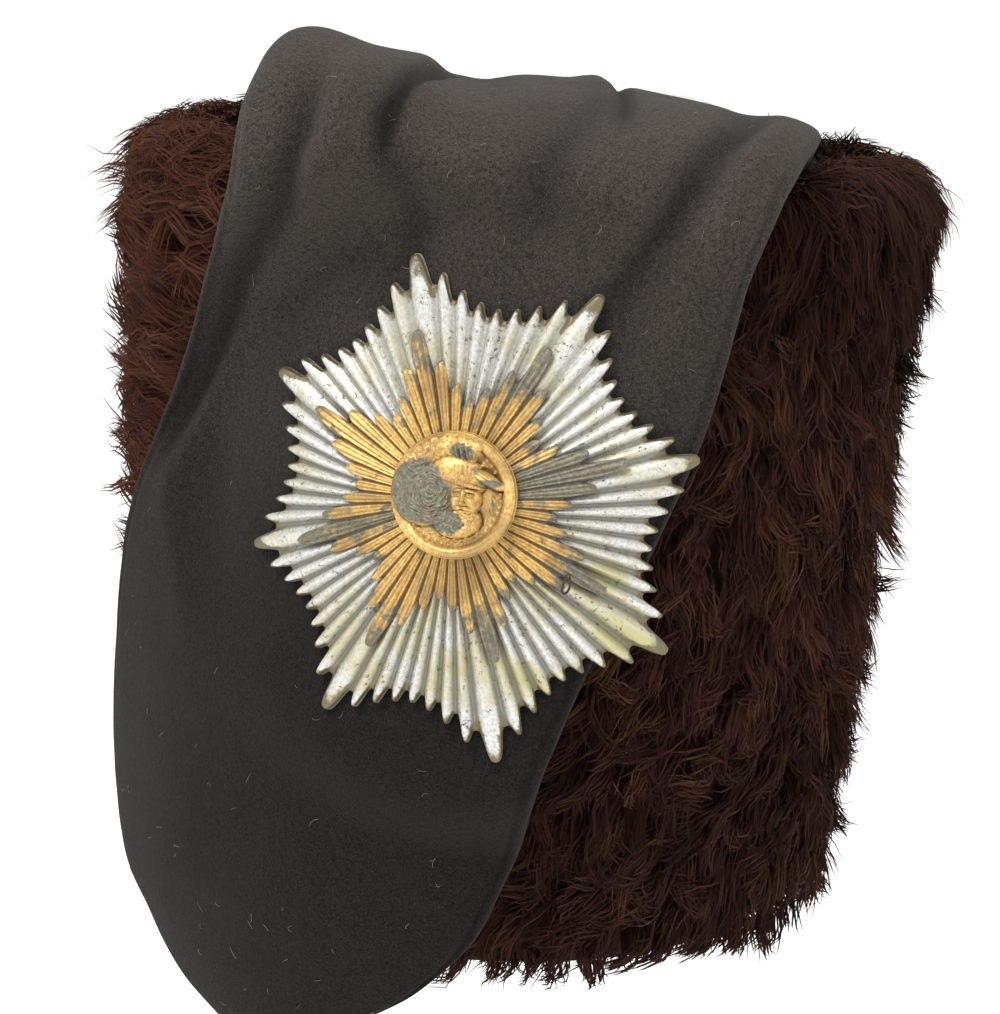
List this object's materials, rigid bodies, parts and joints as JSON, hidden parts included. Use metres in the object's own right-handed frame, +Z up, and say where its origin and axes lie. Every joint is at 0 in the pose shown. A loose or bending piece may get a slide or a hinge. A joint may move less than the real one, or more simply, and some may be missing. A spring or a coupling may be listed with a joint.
{
  "type": "tall fur military hat with a folded cloth bag and a pinned star plate",
  "caption": "Flared fur hat body with an open oval head hollow, a grey cloth bag folded over the front and hanging past the rim, and a layered star plate on the bag.",
  "frame": {"origin": "centre of the crown's lower oval opening, where the hat sits on a head", "axes": "+Z up through the crown; the front, with the star, faces -Y; +X is the viewer's right"},
  "size_m": [0.2775, 0.3214, 0.305],
  "materials": {
    "crown_board": "matte buckram",
    "fur": "long glossy pile",
    "bag_cloth": "matte felted wool",
    "silver_paint": "worn silver paint",
    "gilt": "worn gold paint",
    "gilt_relief": "worn gold paint, half bare grey metal"
  },
  "bodies": {
    "root": {"crown": "crown_board", "fur_cover": "fur", "bag": "bag_cloth", "star_plate": "silver_paint", "gilt_star": "gilt", "medallion": "gilt_relief"}
  },
  "joints": []
}
